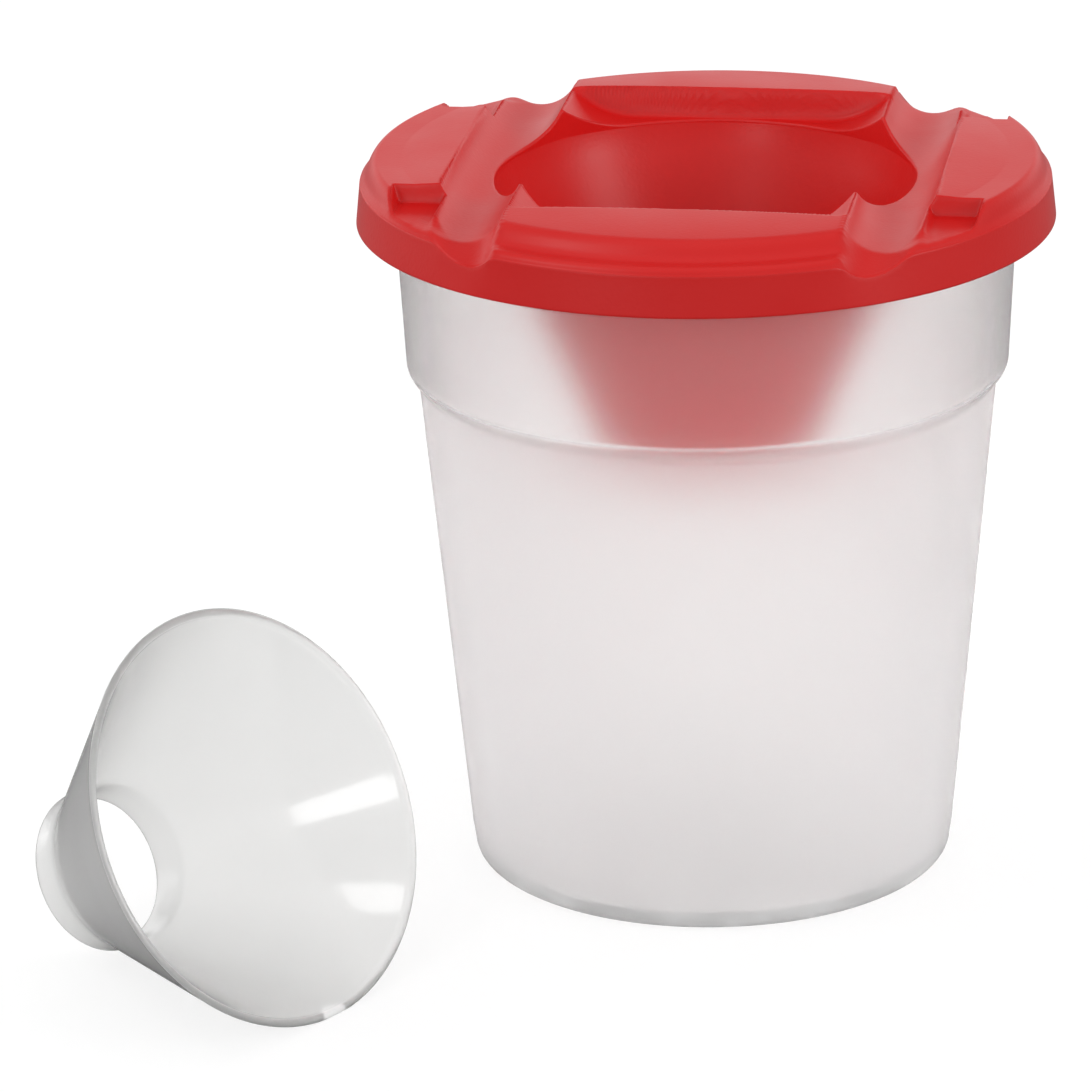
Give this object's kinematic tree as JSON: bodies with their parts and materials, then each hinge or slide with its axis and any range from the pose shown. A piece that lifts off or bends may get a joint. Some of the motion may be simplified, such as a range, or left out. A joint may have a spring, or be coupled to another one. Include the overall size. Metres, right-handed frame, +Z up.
{
  "type": "brush washer",
  "caption": "Brush washer: a tapered translucent pot with a push-on lid holding a conical brush well and brush rests, and a loose funnel insert lying beside it.",
  "frame": {"origin": "centre of the pot's flat base, on the surface it stands on", "axes": "+Z up along the pot's axis; +X to the right, along the two straight bars of the lid; +Y to the back, along the brush rests"},
  "size_m": [0.1188, 0.1183, 0.0905],
  "materials": {
    "frosted_pot": "translucent, moulded satin",
    "red_lid": "moulded satin",
    "clear_funnel": "translucent, polished"
  },
  "bodies": {
    "pot": {"pot": "frosted_pot"},
    "lid": {"lid": "red_lid"},
    "funnel": {"funnel": "clear_funnel"}
  },
  "joints": [
    {"name": "lid_lift", "type": "slide", "parent": "pot", "child": "lid", "axis": [0, 0, 1], "range_m": [0, 0.06]},
    {"name": "funnel_lift", "type": "slide", "parent": "pot", "child": "funnel", "axis": [0, 0, 1], "range_m": [0, 0.1]}
  ]
}
